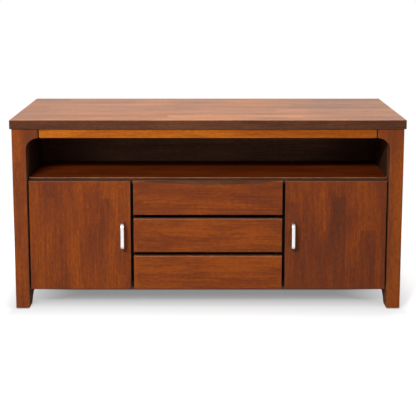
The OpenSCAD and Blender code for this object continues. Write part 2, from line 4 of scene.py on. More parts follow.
import bmesh
import bpy
import numpy as np
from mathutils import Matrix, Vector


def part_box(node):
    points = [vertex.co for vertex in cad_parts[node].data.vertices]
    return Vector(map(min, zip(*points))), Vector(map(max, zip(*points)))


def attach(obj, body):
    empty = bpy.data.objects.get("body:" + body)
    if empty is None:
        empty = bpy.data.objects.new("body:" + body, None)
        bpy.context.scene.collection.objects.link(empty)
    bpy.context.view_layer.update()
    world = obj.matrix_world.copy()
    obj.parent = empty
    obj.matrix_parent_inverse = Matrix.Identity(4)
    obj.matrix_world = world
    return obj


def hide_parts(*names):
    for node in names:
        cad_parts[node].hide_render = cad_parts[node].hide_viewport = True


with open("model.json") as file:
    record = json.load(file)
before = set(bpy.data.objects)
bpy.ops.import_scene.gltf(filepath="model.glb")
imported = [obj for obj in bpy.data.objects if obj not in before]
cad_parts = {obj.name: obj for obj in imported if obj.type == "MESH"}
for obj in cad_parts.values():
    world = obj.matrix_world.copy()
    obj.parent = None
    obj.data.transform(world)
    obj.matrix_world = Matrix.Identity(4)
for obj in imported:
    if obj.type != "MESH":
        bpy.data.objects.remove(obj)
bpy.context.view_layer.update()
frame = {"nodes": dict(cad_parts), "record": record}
nodes = frame["nodes"]
scene = bpy.context.scene
mm = 0.001
white = (1, 1, 1, 1)
print("frame loaded,", len(nodes), "nodes")


def addObject(name, data):
    # an object in the scene
    added = bpy.data.objects.new(name, data)
    scene.collection.objects.link(added)
    return added


# the camera stands level with the middle and looks a little down; the shift keeps the legs as upright as in the photo
cameraValues = {"place": (-0.00195, -3.3599, 1.0487), "down": 0.1510, "lens": 90.22, "sensor": 36,
                "shift": (0.0018, -0.2), "reach": 60}
camera = addObject("camera", bpy.data.cameras.new("camera"))
camera.location = cameraValues["place"]
camera.rotation_euler = (math.pi / 2 - cameraValues["down"], 0, 0)
camera.data.sensor_width = cameraValues["sensor"]
camera.data.lens = cameraValues["lens"]
camera.data.shift_x, camera.data.shift_y = cameraValues["shift"]
camera.data.clip_end = cameraValues["reach"]
scene.camera = camera
scene.view_settings.view_transform = "Standard"


def fill(tree, node, inputs):
    # gives a node its inputs; each is a number, a colour or another node's output
    for name, value in inputs.items():
        if isinstance(value, bpy.types.NodeSocket):
            tree.links.new(value, node.inputs[name])
        else:
            node.inputs[name].default_value = value


def addNode(tree, kind, inputs=None, **settings):
    # a node with its settings and its inputs
    node = tree.nodes.new("ShaderNode" + kind)
    for name, value in settings.items():
        setattr(node, name, value)
    fill(tree, node, inputs or {})
    return node


def sums(tree, operation, first, second=0.0, third=0.0):
    # one line of arithmetic on values
    return addNode(tree, "Math", {0: first, 1: second, 2: third}, operation=operation).outputs[0]


def folded(tree, operation, first, *others):
    # the same arithmetic over several values, such as their product or the largest of them
    for other in others:
        first = sums(tree, operation, first, other)
    return first


def vectorSums(tree, operation, first, second):
    # one line of arithmetic on vectors
    return addNode(tree, "VectorMath", {0: first, 1: second}, operation=operation).outputs[0]


def axesOf(tree, vector):
    # a vector's values, under the names X, Y and Z
    return addNode(tree, "SeparateXYZ", {0: vector}).outputs


def vectorOf(tree, values):
    # a vector from values under the names X, Y and Z
    return addNode(tree, "CombineXYZ", values).outputs[0]


def between(tree, value, low, high, toLow=0.0, toHigh=1.0):
    # a soft step: toLow where the value is up to low, toHigh from high on
    sockets = {"Value": value, "From Min": low, "From Max": high, "To Min": toLow, "To Max": toHigh}
    return addNode(tree, "MapRange", sockets, interpolation_type="SMOOTHSTEP").outputs["Result"]


def noise(tree, vector, stretch, detail, roughness=0.5, warp=0.0, step=None):
    # smooth random values, with the pattern squeezed by stretch along each axis, and then taken through a soft step
    squeezed = vectorSums(tree, "MULTIPLY", vector, stretch)
    sockets = {"Vector": squeezed, "Scale": 1.0, "Detail": detail, "Roughness": roughness, "Distortion": warp}
    values = addNode(tree, "TexNoise", sockets, noise_dimensions="3D").outputs["Fac"]
    return between(tree, values, *step) if step else values


def tinted(tree, amount, base, tint):
    # the base colour, turned towards the tint by the amount
    return addNode(tree, "Mix", {"Factor": amount, "A": base, "B": (*tint, 1)}, data_type="RGBA").outputs["Result"]


def mixShaders(tree, amount, first, second):
    # amount 0 gives the first shader, 1 the second
    return addNode(tree, "MixShader", {0: amount, 1: first, 2: second}).outputs[0]


def bumps(tree, height, strength, distance):
    # the normals of a relief of that height
    return addNode(tree, "Bump", {"Height": height, "Strength": strength, "Distance": distance}).outputs[0]


def emptyTree(owner):
    # the nodes of a material or a world, with none in it yet
    owner.use_nodes = True
    owner.node_tree.nodes.clear()
    return owner.node_tree


def lookedAt(tree):
    # 1 for rays from the lens, be it directly, by a mirror image or through glass, and 0 for those that carry light
    rays = addNode(tree, "LightPath").outputs
    return folded(tree, "MAXIMUM", rays["Is Camera Ray"], rays["Is Glossy Ray"], rays["Is Transmission Ray"])


def newGroup(name, inputs, outputs):
    # an empty effect; inputs hold (name, default), and all outputs but Board are plain values
    group = bpy.data.node_groups.new(name, "ShaderNodeTree")
    for label, default in inputs:
        kind = "NodeSocketVector" if isinstance(default, tuple) else "NodeSocketFloat"
        socket = group.interface.new_socket(label, in_out="INPUT", socket_type=kind)
        socket.default_value = default
    for label in outputs:
        kind = "NodeSocketVector" if label == "Board" else "NodeSocketFloat"
        group.interface.new_socket(label, in_out="OUTPUT", socket_type=kind)
    return group, group.nodes.new("NodeGroupInput").outputs, group.nodes.new("NodeGroupOutput")


def useGroup(tree, group, inputs):
    # an effect placed in a material with the material's own values
    return addNode(tree, "Group", inputs, node_tree=group).outputs


staveValues = {"joint": 0.5 * mm, "rowShift": 9.0, "grainShift": (3.1, 3.7, 2.3)}


def staveGroup():
    # boards glued up from strips: row = floor(across / width), piece = floor(along / length + the row's random
    # start); each piece has a random tone and its own place in the grain, and a dark line runs where pieces meet
    group, given, out = newGroup(
        "glued staves", [("Board", (0.0, 0.0, 0.0)), ("Width", 1.0), ("Length", 1.0), ("Joint", staveValues["joint"])],
        ["Board", "Stave", "Joint"])
    axes = axesOf(group, given["Board"])
    across = sums(group, "DIVIDE", axes["Y"], given["Width"])
    row = sums(group, "FLOOR", across)
    rowStart = addNode(group, "TexWhiteNoise", {"W": row}, noise_dimensions="1D").outputs["Value"]
    along = sums(group, "MULTIPLY_ADD", rowStart, staveValues["rowShift"],
                 sums(group, "DIVIDE", axes["X"], given["Length"]))
    piece = sums(group, "FLOOR", along)
    place = vectorOf(group, {"X": row, "Y": piece})
    chance = addNode(group, "TexWhiteNoise", {"Vector": place}, noise_dimensions="2D").outputs
    shift = vectorSums(group, "MULTIPLY", chance["Color"], staveValues["grainShift"])
    edges = []
    for count, size in ((across, given["Width"]), (along, given["Length"])):
        part = sums(group, "FRACT", count)
        nearer = sums(group, "MINIMUM", part, sums(group, "SUBTRACT", 1.0, part))
        edges.append(sums(group, "MULTIPLY", nearer, size))
    nearest = sums(group, "MINIMUM", *edges)
    line = sums(group, "SUBTRACT", 1.0, sums(group, "DIVIDE", nearest, given["Joint"]))
    fill(group, out, {"Board": vectorSums(group, "ADD", given["Board"], shift), "Stave": chance["Value"],
                      "Joint": sums(group, "MAXIMUM", line, 0.0)})
    return group


grainValues = {
    "Rings": {"stretch": (1.1, 42.0, 30.0), "detail": 2.0, "roughness": 0.55, "warp": 0.4, "step": (0.3, 0.7)},
    "Streaks": {"stretch": (8.0, 210.0, 210.0), "detail": 4.0, "roughness": 0.6, "step": (0.25, 0.75)},
    "Fibres": {"stretch": (34.0, 420.0, 420.0), "detail": 3.0, "roughness": 0.7},
    "Flecks": {"stretch": (70.0, 190.0, 190.0), "detail": 3.0, "roughness": 0.65, "step": (0.3, 0.7)},
    "Pores": {"stretch": (62.0, 2100.0, 2100.0), "detail": 1.0, "step": (0.62, 0.72)},
    "Clouds": {"stretch": (4.0, 15.0, 15.0), "detail": 3.0, "step": (0.3, 0.7)},
}
swayValues = {"noise": {"stretch": (2.2, 9.0, 9.0), "detail": 1.0}, "across": 0.035, "through": 0.02}


def grainGroup():
    # the figure of the wood along X: broad growth rings, streaks, fine fibres, flecks, short dark pores and the
    # cloudiness of the stain; each is a noise at place + sway, but the clouds don't sway with the grain
    group, given, out = newGroup("grain", [("Board", (0.0, 0.0, 0.0))], list(grainValues))
    sway = noise(group, given["Board"], **swayValues["noise"])
    swayed = vectorSums(group, "ADD", given["Board"], vectorOf(group, {
        "Y": sums(group, "MULTIPLY", sway, swayValues["across"]),
        "Z": sums(group, "MULTIPLY", sway, swayValues["through"])}))
    for name, values in grainValues.items():
        place = given["Board"] if name == "Clouds" else swayed
        fill(group, out, {name: noise(group, place, **values)})
    return group


# patches of real wear, and a painted highlight that grows on edges the more they face up
wearValues = {"upwards": (0.1, 0.6, 0.3, 1.0),
              "patches": {"stretch": (38.0, 38.0, 38.0), "detail": 3.0, "roughness": 0.6,
                          "step": (0.35, 0.62, 0.55, 1.0)}}


def wearAndHighlightGroup():
    # the eased edges carry the mark arris; handling rubs the stain thin there in patches, and edges that face up also
    # get a painted highlight for light from above: lightening = mark * patches * (how far the edge faces up) * amount
    group, given, out = newGroup(
        "worn and highlit arris", [("Board", (0.0, 0.0, 0.0)), ("Facing", (0.0, 0.0, 0.0)), ("Amount", 1.0)], ["Worn"])
    mark = addNode(group, "Attribute", attribute_name="arris").outputs["Fac"]
    patches = noise(group, given["Board"], **wearValues["patches"])
    upwards = between(group, axesOf(group, given["Facing"])["Z"], *wearValues["upwards"])
    fill(group, out, {"Worn": folded(group, "MULTIPLY", mark, patches, upwards, given["Amount"])})
    return group


metalValues = {"lines": {"stretch": (1.6, 1.6, 0.06), "detail": 3.0, "roughness": 0.6},
               "smudges": {"stretch": (120.0, 120.0, 70.0), "detail": 3.0, "roughness": 0.6, "step": (0.4, 0.75)},
               "lineColour": 0.62, "lineRough": 0.12, "smudgeRough": 0.08,
               "relief": 0.15, "depth": 0.1 * mm}


def metalGroup():
    # fine lines left by polishing round the bar, and faint smudges from hands
    group, given, out = newGroup(
        "polished metal", [("Board", (0.0, 0.0, 0.0)), ("Lines", 1.0)], ["Lines", "Smudges"])
    squeezed = addNode(group, "VectorMath", {0: given["Board"], "Scale": given["Lines"]}, operation="SCALE").outputs[0]
    fill(group, out, {"Lines": noise(group, squeezed, **metalValues["lines"]),
                      "Smudges": noise(group, given["Board"], **metalValues["smudges"])})
    return group


staves, grain, wear, metal = staveGroup(), grainGroup(), wearAndHighlightGroup(), metalGroup()

# which object axes run along the grain, across the boards and through them
grainWays = {"across": "XZY", "upright": "ZXY", "uprightSide": "ZYX", "deepSide": "YZX", "flat": "XYZ"}


def newMaterial(name):
    # a material with nothing but its shader
    material = bpy.data.materials.new(name)
    tree = emptyTree(material)
    shader = addNode(tree, "BsdfPrincipled")
    addNode(tree, "OutputMaterial", {"Surface": shader.outputs[0]})
    return material, tree, shader


woodValues = {"darkest": 0.9, "fibreRough": 0.14, "poreRough": 0.12, "cloudRough": 0.05, "fibreHeight": 0.35,
              "poreDepth": 0.5, "depth": 0.3 * mm}


def woodMaterial(name, way, finish):
    # tone = middle + the sum of (figure - 0.5) * strength over all kinds of figure; the tone picks the stain's colour
    # from dark to light, pores and glue lines darken it, and worn edges lighten it, those that face up with a painted
    # highlight as well
    material, tree, shader = newMaterial(name)
    spot = addNode(tree, "TexCoord").outputs
    axes = axesOf(tree, spot["Object"])
    place = vectorOf(tree, dict(zip("XYZ", (axes[axis] for axis in grainWays[way]))))
    glued = useGroup(tree, staves, {"Board": place, "Width": finish["staveWidth"], "Length": finish["staveLength"]})
    figure = useGroup(tree, grain, {"Board": glued["Board"]})
    clouds = useGroup(tree, grain, {"Board": place})["Clouds"]
    wornAndHighlit = useGroup(tree, wear, {"Board": place, "Facing": spot["Normal"], "Amount": finish["wear"]})["Worn"]
    tone = finish["middle"]
    for value, strength in ((glued["Stave"], "staves"), (figure["Rings"], "rings"), (figure["Streaks"], "streaks"),
                            (figure["Fibres"], "fibres"), (figure["Flecks"], "flecks"), (clouds, "clouds")):
        tone = sums(tree, "MULTIPLY_ADD", sums(tree, "SUBTRACT", value, 0.5), finish[strength], tone)
    ramp = addNode(tree, "ValToRGB", {"Fac": tone})
    ramp.color_ramp.interpolation = "B_SPLINE"
    stops = ramp.color_ramp.elements
    for index, colour in enumerate(finish["colours"]):
        if index > 1:
            stops.new(1.0)
        stops[index].position = index / (len(finish["colours"]) - 1)
        stops[index].color = (*colour, 1)
    dark = sums(tree, "MULTIPLY_ADD", figure["Pores"], finish["pores"],
                sums(tree, "MULTIPLY", glued["Joint"], finish["joint"]))
    pored = tinted(tree, sums(tree, "MINIMUM", dark, woodValues["darkest"]), ramp.outputs["Color"],
                   finish["poreColour"])
    # worn edges take the worn colour; on edges that face up it is also a painted highlight
    colour = tinted(tree, wornAndHighlit, pored, finish["wornColour"])
    if "ends" in finish:  # painted shade: the board grows darker towards its two ends, where the bay's corners lie in shade
        start, end, depth = finish["ends"]
        shade = between(tree, sums(tree, "ABSOLUTE", axes["X"]), start, end, 0.0, depth)
        colour = tinted(tree, shade, colour, finish["poreColour"])
    dull = finish["rough"] - woodValues["fibreRough"] / 2
    for value, strength in ((figure["Fibres"], "fibreRough"), (figure["Pores"], "poreRough"), (clouds, "cloudRough")):
        dull = sums(tree, "MULTIPLY_ADD", value, woodValues[strength], dull)
    height = sums(tree, "SUBTRACT", sums(tree, "MULTIPLY", figure["Fibres"], woodValues["fibreHeight"]),
                  sums(tree, "MULTIPLY_ADD", figure["Pores"], woodValues["poreDepth"], glued["Joint"]))
    fill(tree, shader, {"Base Color": colour, "Roughness": dull, "Specular IOR Level": finish["shine"],
                        "Normal": bumps(tree, height, finish["relief"], woodValues["depth"])})
    return material


def metalMaterial(name, colour, rough, lines, shade):
    # bare metal: the lines and smudges change its roughness, and faintly its colour and relief
    material, tree, shader = newMaterial(name)
    place = addNode(tree, "TexCoord").outputs["Object"]
    marks = useGroup(tree, metal, {"Board": place, "Lines": lines})
    lineColour = [part * metalValues["lineColour"] for part in colour]
    tone = tinted(tree, sums(tree, "MULTIPLY", marks["Lines"], shade), (*colour, 1), lineColour)
    dull = sums(tree, "MULTIPLY_ADD", marks["Lines"], metalValues["lineRough"], rough)
    dull = sums(tree, "MULTIPLY_ADD", marks["Smudges"], metalValues["smudgeRough"], dull)
    fill(tree, shader, {"Base Color": tone, "Roughness": dull, "Metallic": 1.0,
                        "Normal": bumps(tree, marks["Lines"], metalValues["relief"], metalValues["depth"])})
    return material


plasticValues = {"skin": {"stretch": (2600.0, 2600.0, 2600.0), "detail": 2.0},
                 "rubbed": {"stretch": (60.0, 60.0, 60.0), "detail": 3.0, "step": (0.4, 0.7)},
                 "lighter": 1.5, "paler": 0.01, "rubbedColour": 0.4, "rubbedRough": 0.15, "relief": 0.3,
                 "depth": 0.1 * mm}


def plasticMaterial(name, colour, rough):
    # moulded plastic: a fine spark-eroded skin, a little lighter where it has been rubbed
    material, tree, shader = newMaterial(name)
    place = addNode(tree, "TexCoord").outputs["Object"]
    skin = noise(tree, place, **plasticValues["skin"])
    rubbed = noise(tree, place, **plasticValues["rubbed"])
    lighter = [part * plasticValues["lighter"] + plasticValues["paler"] for part in colour]
    amount = sums(tree, "MULTIPLY", rubbed, plasticValues["rubbedColour"])
    fill(tree, shader, {"Base Color": tinted(tree, amount, (*colour, 1), lighter),
                        "Roughness": sums(tree, "MULTIPLY_ADD", rubbed, plasticValues["rubbedRough"], rough),
                        "Normal": bumps(tree, skin, plasticValues["relief"], plasticValues["depth"])})
    return material


# colours run from the darkest to the lightest wood under each stain; staves to clouds say how strongly each figure
# changes the tone
mahogany = {
    "colours": [(0.083, 0.026, 0.0145), (0.142, 0.034, 0.0130), (0.205, 0.0435, 0.011), (0.32, 0.073, 0.0095)],
    "poreColour": (0.04, 0.010, 0.004), "wornColour": (0.31, 0.15, 0.088), "staveWidth": 0.047, "staveLength": 0.31,
    "middle": 0.56, "staves": 0.17, "rings": 0.13, "streaks": 0.34, "fibres": 0.40, "flecks": 0.26, "clouds": 0.36,
    "pores": 0.30, "joint": 0.20, "wear": 0.9, "rough": 0.36, "relief": 0.35, "shine": 0.042}
drawerStain = dict(mahogany, staveWidth=0.2, staveLength=0.9, staves=0.12, rings=0.16, streaks=0.36, clouds=0.40)
legStain = dict(
    mahogany, staves=0.13, staveWidth=0.21, staveLength=0.27,
    colours=[(0.095, 0.029, 0.0155), (0.155, 0.038, 0.014), (0.22, 0.050, 0.012), (0.33, 0.080, 0.010)])
sideStain = dict(legStain, staveWidth=0.2)
edgeStain = dict(
    mahogany, wornColour=(0.26, 0.14, 0.090), shine=0.065,
    colours=[(0.040, 0.015, 0.008), (0.066, 0.023, 0.012), (0.092, 0.032, 0.015), (0.13, 0.048, 0.022)])
# a darker, matt copy of the leg stain for the inner faces of legs and rails: painted shade
paintedShadeInner = dict(
    edgeStain, shine=0.001, wear=0.5,
    colours=[(0.072, 0.027, 0.014), (0.119, 0.041, 0.022), (0.166, 0.058, 0.027), (0.234, 0.086, 0.040)])
# drawer fronts' edges: lighter than the edge stain, painted light for what reaches their tops in the gaps, and their
# light worn colour is a painted highlight on the upper arrises
drawerEdgeWithPaintedLight = dict(
    edgeStain, wornColour=(0.44, 0.22, 0.125), shine=0.060, wear=1.0,
    colours=[(0.088, 0.030, 0.014), (0.138, 0.045, 0.018), (0.187, 0.062, 0.024), (0.26, 0.092, 0.038)])
# the shelf's rim: its light, greyish worn colour is a painted highlight along the front arris
shelfRimWithPaintedHighlight = dict(edgeStain, wornColour=(0.46, 0.25, 0.16), wear=1.1)
topStain = dict(
    mahogany, staveWidth=0.065, staveLength=0.42, staves=0.26, rings=0.25, streaks=0.5, flecks=0.3, clouds=0.4,
    rough=0.34, shine=0.10, wear=0.5,
    colours=[(0.112, 0.037, 0.012), (0.220, 0.072, 0.020), (0.312, 0.105, 0.029), (0.46, 0.172, 0.053)])
shelfStain = dict(
    mahogany, staveWidth=0.065, staveLength=0.6, shine=0.02,
    colours=[(0.076, 0.0135, 0.0034), (0.126, 0.021, 0.0038), (0.180, 0.030, 0.0045), (0.275, 0.050, 0.006)])
honeyStain = dict(
    mahogany, poreColour=(0.12, 0.03, 0.004), staveWidth=0.2, staveLength=0.55, staves=0.16,
    colours=[(0.20, 0.040, 0.006), (0.31, 0.070, 0.007), (0.42, 0.103, 0.009), (0.58, 0.17, 0.014)])
darkStain = dict(
    mahogany, rough=0.5, wear=0.25,
    colours=[(0.022, 0.010, 0.006), (0.038, 0.016, 0.009), (0.055, 0.023, 0.012), (0.085, 0.034, 0.016)])
# near black, painted shade: for faces in shade, such as the undersides of doors, fronts and feet, the partitions' front
# edges in the gaps and the apron's tenons
paintedBlackShade = dict(
    darkStain, wornColour=(0.06, 0.03, 0.02),
    colours=[(0.005, 0.003, 0.002), (0.008, 0.004, 0.003), (0.012, 0.006, 0.004), (0.018, 0.009, 0.006)])
darkPly = dict(
    darkStain, staveWidth=1.6, staveLength=3.2, rings=0.4,
    colours=[(0.030, 0.012, 0.008), (0.050, 0.020, 0.011), (0.070, 0.028, 0.015), (0.10, 0.04, 0.022)])
# the bay's back grows darker towards its ends: painted shade for the unlit corners
bayPly = dict(
    darkPly, ends=(0.26, 0.50, 0.75),
    colours=[(0.11, 0.056, 0.034), (0.17, 0.086, 0.052), (0.23, 0.116, 0.068), (0.30, 0.155, 0.09)])
bareWood = dict(
    mahogany, poreColour=(0.30, 0.18, 0.09), wornColour=(0.70, 0.52, 0.34), shine=0.12, rough=0.6, wear=0.3,
    staves=0.2, clouds=0.12, pores=0.2, staveWidth=0.09,
    colours=[(0.42, 0.27, 0.14), (0.55, 0.37, 0.20), (0.64, 0.45, 0.26), (0.74, 0.55, 0.35)])
barePly = dict(
    bareWood, staveWidth=1.6, staveLength=3.2, rings=0.5,
    colours=[(0.50, 0.33, 0.17), (0.61, 0.42, 0.235), (0.70, 0.50, 0.30), (0.78, 0.58, 0.37)])

woods = {
    "leftDoor": ("mahogany stain, left door", "upright", dict(mahogany, middle=0.57)),
    "rightDoor": ("mahogany stain, right door", "upright", dict(mahogany, middle=0.47, staves=0.19, clouds=0.44)),
    "doorEdges": ("dark stain, door edges", "upright", edgeStain),
    "topDrawer": ("mahogany stain, top drawer", "across", dict(drawerStain, middle=0.58)),
    "middleDrawer": ("mahogany stain, middle drawer", "across", dict(drawerStain, middle=0.69)),
    "bottomDrawer": ("mahogany stain, bottom drawer", "across", dict(drawerStain, middle=0.80)),
    "drawerEdges": ("dark stain, drawer edges", "across", drawerEdgeWithPaintedLight),
    "scoop": ("dark stain, scoop", "across", edgeStain),
    "leftLegs": ("mahogany stain, left legs", "upright", dict(legStain, middle=0.50)),
    "rightLegs": ("mahogany stain, right legs", "upright", dict(legStain, middle=0.68)),
    "legInside": ("dark stain, inner faces of the legs", "upright", paintedShadeInner),
    "railInside": ("dark stain, inner faces of the rails", "deepSide", paintedShadeInner),
    "sidePanels": ("mahogany stain, side panels", "uprightSide", dict(legStain, staveWidth=0.047)),
    "sideRails": ("mahogany stain, side rails", "deepSide", sideStain),
    "rearRail": ("mahogany stain, rear rail", "across", sideStain),
    "top": ("mahogany stain, top", "flat", topStain),
    "topEdge": ("dark stain, edge of the top", "flat", edgeStain),
    "shelf": ("mahogany stain, shelf", "flat", shelfStain),
    "shelfEdge": ("dark stain, edge of the shelf", "flat", shelfRimWithPaintedHighlight),
    "apron": ("honey stain", "across", honeyStain),
    "inside": ("dark stain, inside", "flat", darkStain),
    "partitions": ("dark stain, partitions", "uprightSide", darkStain),
    "black": ("black stain, partition edges", "upright", paintedBlackShade),
    "battens": ("dark stain, battens", "upright", darkStain),
    "backPly": ("stained plywood", "across", darkPly),
    "bayPly": ("stained plywood of the bay", "across", bayPly),
    "boxSides": ("bare wood, drawer sides", "deepSide", bareWood),
    "boxBacks": ("bare wood, drawer backs", "across", bareWood),
    "boxBottoms": ("bare plywood", "flat", barePly),
}
# colour, roughness, number of lines to the metre and how dark they are
metals = {
    "handle": ("satin steel", (0.70, 0.70, 0.69), 0.28, 900.0, 0.2),
    "zinc": ("zinc plate", (0.60, 0.61, 0.60), 0.38, 300.0, 0.4),
    "pins": ("plain steel", (0.62, 0.62, 0.61), 0.28, 900.0, 0.2),
}
plastics = {
    "glides": ("black nylon", (0.020, 0.019, 0.018), 0.5),
    "catches": ("brown moulding", (0.035, 0.022, 0.014), 0.42),
}
families = ((woodMaterial, woods), (metalMaterial, metals), (plasticMaterial, plastics))
looks = {look: make(*values) for make, family in families for look, values in family.items()}
print("materials made:", len(looks))

bodyOf = {node: body for body, members in frame["record"]["behaviour"]["bodies"].items() for node in members}
slotOf = {part["node"]: part["material_slot"] for part in frame["record"]["subparts"]}
# outline's first axis, its second axis and the axis that it is carried along
carried = {"x": [1, 2, 0], "y": [0, 2, 1], "z": [0, 1, 2]}
# faces round an eased edge, the largest radius that gets worn and a painted highlight, the part of an ease that the
# flat ends shrink by, and how near points and edges are merged
meshValues = {"easeSteps": 3, "wornRadius": 5 * mm, "shrink": 0.999, "doubles": 0.004 * mm, "slivers": 0.001 * mm}


def outline(polygon, radii, steps=meshValues["easeSteps"]):
    # each corner of a polygon turns into an arc: centre = corner - edge * radius * tan(turn / 2) + normal * radius,
    # and its points turn evenly from one edge's direction to the next; a corner of no radius stays one mitred point
    polygon = np.asarray(polygon, float)
    radius = np.broadcast_to(np.asarray(radii, float), len(polygon))
    before = polygon - np.roll(polygon, 1, axis=0)
    before /= np.linalg.norm(before, axis=1)[:, None]
    after = np.roll(before, -1, axis=0)
    turn = np.arctan2(before[:, 0] * after[:, 1] - before[:, 1] * after[:, 0], (before * after).sum(1))
    left = np.stack([-before[:, 1], before[:, 0]], 1)
    leftAfter = np.roll(left, -1, axis=0)
    mitre = (left + leftAfter) / (1 + (left * leftAfter).sum(1))[:, None]
    reach = (np.sign(turn) * radius)[:, None]
    centre = polygon - before * (radius * np.tan(np.abs(turn) / 2))[:, None] + left * reach
    part = np.linspace(0, 1, steps + 1)
    angle = turn[:, None] * part
    normal = np.stack([left[:, :1] * np.cos(angle) - left[:, 1:] * np.sin(angle),
                       left[:, :1] * np.sin(angle) + left[:, 1:] * np.cos(angle)], -1)
    points = centre[:, None] - normal * reach[:, None]
    inward = np.where((radius > 0)[:, None, None], normal, mitre[:, None])
    eased = (radius > 0) & (radius < meshValues["wornRadius"]) & (turn > 0)
    mark = eased[:, None] * np.sin(np.pi * part)
    inArc = np.tile(part < 1, (len(polygon), 1)) & (radius > 0)[:, None]
    return points.reshape(-1, 2), inward.reshape(-1, 2), mark.reshape(-1), inArc.reshape(-1)


def prism(shape, axis, low, high, ease, eased=(True, True), closed=(True, True)):
    # the outline is carried from low to high; at an eased end it shrinks along its normals by ease * (1 - sin a)
    # while it moves on by ease * (1 - cos a), so that the edge is a quarter round; flat ends carry no mark of wear or
    # painted highlight
    points, inward, mark, inArc = shape
    angle = np.linspace(0, math.pi / 2, meshValues["easeSteps"] + 1)
    shrink = meshValues["shrink"] * ease * (1 - np.sin(angle))
    move, rub = ease * (1 - np.cos(angle)), np.sin(2 * angle)
    none = np.zeros(1)
    first = (shrink, low + move, rub) if eased[0] else (none, none + low, none)
    last = (shrink[::-1], high - move[::-1], rub[::-1]) if eased[1] else (none, none + high, none)
    inset, level, rubbed = (np.concatenate(pair) for pair in zip(first, last))
    rings, count = len(inset), len(points)
    flat = points[None] + inward[None] * inset[:, None, None]
    local = np.concatenate([flat, np.broadcast_to(level[:, None, None], (rings, count, 1))], 2).reshape(-1, 3)
    verts = np.empty_like(local)
    verts[:, carried[axis]] = local
    inside = np.ones((rings, 1))
    inside[[0, -1]] = 0
    marks = np.maximum(rubbed[:, None], mark[None] * inside).reshape(-1)
    grid = np.arange(rings * count).reshape(rings, count)
    ahead = np.roll(grid, -1, axis=1)
    quads = np.stack([grid[:-1], ahead[:-1], ahead[1:], grid[1:]], 2).reshape(-1, 4)
    band = np.ones(rings - 1, bool)
    band[len(first[0]) - 1] = False
    smooth = (band[:, None] | inArc[None]).reshape(-1)
    ends = [end.tolist() for end, wanted in ((grid[0, ::-1], closed[0]), (grid[-1], closed[1])) if wanted]
    return verts, quads.tolist() + ends, marks, np.concatenate([smooth, np.zeros(len(ends), bool)])


def rectangle(low, high):
    return [(low[0], low[1]), (high[0], low[1]), (high[0], high[1]), (low[0], high[1])]


def board(low, high, ease):
    # a plain board with every edge eased, carried along its thickness
    low, high = np.asarray(low, float), np.asarray(high, float)
    axis = "xyz"[int(np.argmin(high - low))]
    first, second, along = carried[axis]
    shape = outline(rectangle(low[[first, second]], high[[first, second]]), ease)
    return prism(shape, axis, low[along], high[along], ease)


def mirrored(parts):
    # the same parts on the other side of the middle
    return [(verts * (-1, 1, 1), faces, marks, smooth) for verts, faces, marks, smooth in parts]


def makeMesh(name, parts):
    # the parts become one mesh; doubles are merged and all faces turned outwards
    verts, faces, marks, smooth, start = [], [], [], [], 0
    for partVerts, partFaces, partMarks, partSmooth in parts:
        verts.append(partVerts)
        faces += [[start + index for index in face] for face in partFaces]
        marks.append(partMarks)
        smooth.append(partSmooth)
        start += len(partVerts)
    mesh = bpy.data.meshes.new(name)
    mesh.from_pydata(np.concatenate(verts).tolist(), [], faces)
    mesh.attributes.new("arris", "FLOAT", "POINT").data.foreach_set("value", np.concatenate(marks).astype(np.float32))
    mesh.polygons.foreach_set("use_smooth", np.concatenate(smooth))
    work = bmesh.new()
    work.from_mesh(mesh)
    bmesh.ops.remove_doubles(work, verts=work.verts, dist=meshValues["doubles"])
    bmesh.ops.dissolve_degenerate(work, edges=work.edges, dist=meshValues["slivers"])
    bmesh.ops.recalc_face_normals(work, faces=work.faces)
    work.to_mesh(mesh)
    work.free()
    return mesh


def carve(piece, cutters):
    # takes the cutters' shape out of the piece
    knife = addObject("knife", makeMesh("knife", cutters))
    cut = piece.modifiers.new("cut", "BOOLEAN")
    cut.object, cut.operation, cut.solver = knife, "DIFFERENCE", "EXACT"
    bpy.context.view_layer.update()
    whole = piece.evaluated_get(bpy.context.evaluated_depsgraph_get())
    carved = bpy.data.meshes.new_from_object(whole)
    piece.modifiers.remove(cut)
    piece.data = carved
    bpy.data.objects.remove(knife)


def makePiece(node, parts, look, chooser=None, cutters=None, name=None):
    # look is one finish, or several with a chooser that gives each face's number from its centre and normal; without
    # a name of its own, left_top_rail becomes leftTopRail
    first, *others = node.split("_")
    name = name or first + "".join(other.capitalize() for other in others)
    piece = addObject(name, makeMesh(name, parts))
    if cutters:
        carve(piece, cutters)
    for finish in [look] if isinstance(look, str) else look:
        piece.data.materials.append(looks[finish])
    if chooser:
        count = len(piece.data.polygons)
        centres, normals = np.empty(count * 3), np.empty(count * 3)
        piece.data.polygons.foreach_get("center", centres)
        piece.data.polygons.foreach_get("normal", normals)
        chosen = chooser(centres.reshape(-1, 3), normals.reshape(-1, 3))
        piece.data.polygons.foreach_set("material_index", chosen.astype(np.int32))
    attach(piece, bodyOf[node])
    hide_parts(node)


def boxOf(node, hiddenLow=(0, 0, 0), hiddenHigh=None):
    # a node's box, less the millimetres hidden in its neighbours; hiddenLow alone counts for both ends
    low, high = (np.array(corner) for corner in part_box(node))
    return low + np.array(hiddenLow) * mm, high - np.array(hiddenLow if hiddenHigh is None else hiddenHigh) * mm


def makeBoard(node, look, ease, hiddenLow=(0, 0, 0), hiddenHigh=None, chooser=None, name=None):
    # a piece that is one plain board, as large as its node less what is hidden
    makePiece(node, [board(*boxOf(node, hiddenLow, hiddenHigh), ease)], look, chooser, name=name)


# the left side's parts are made first; the right side's are their mirror image
sides = {"left": list, "right": mirrored}
levels = ("top", "middle", "bottom")
# how far a face's normal leans to one side when the face counts as looking there
leans = {"middle": 0.4, "under": 0.4, "down": 0.2, "up": 0.5, "front": 0.5, "flat": 0.8, "scoop": 0.6}


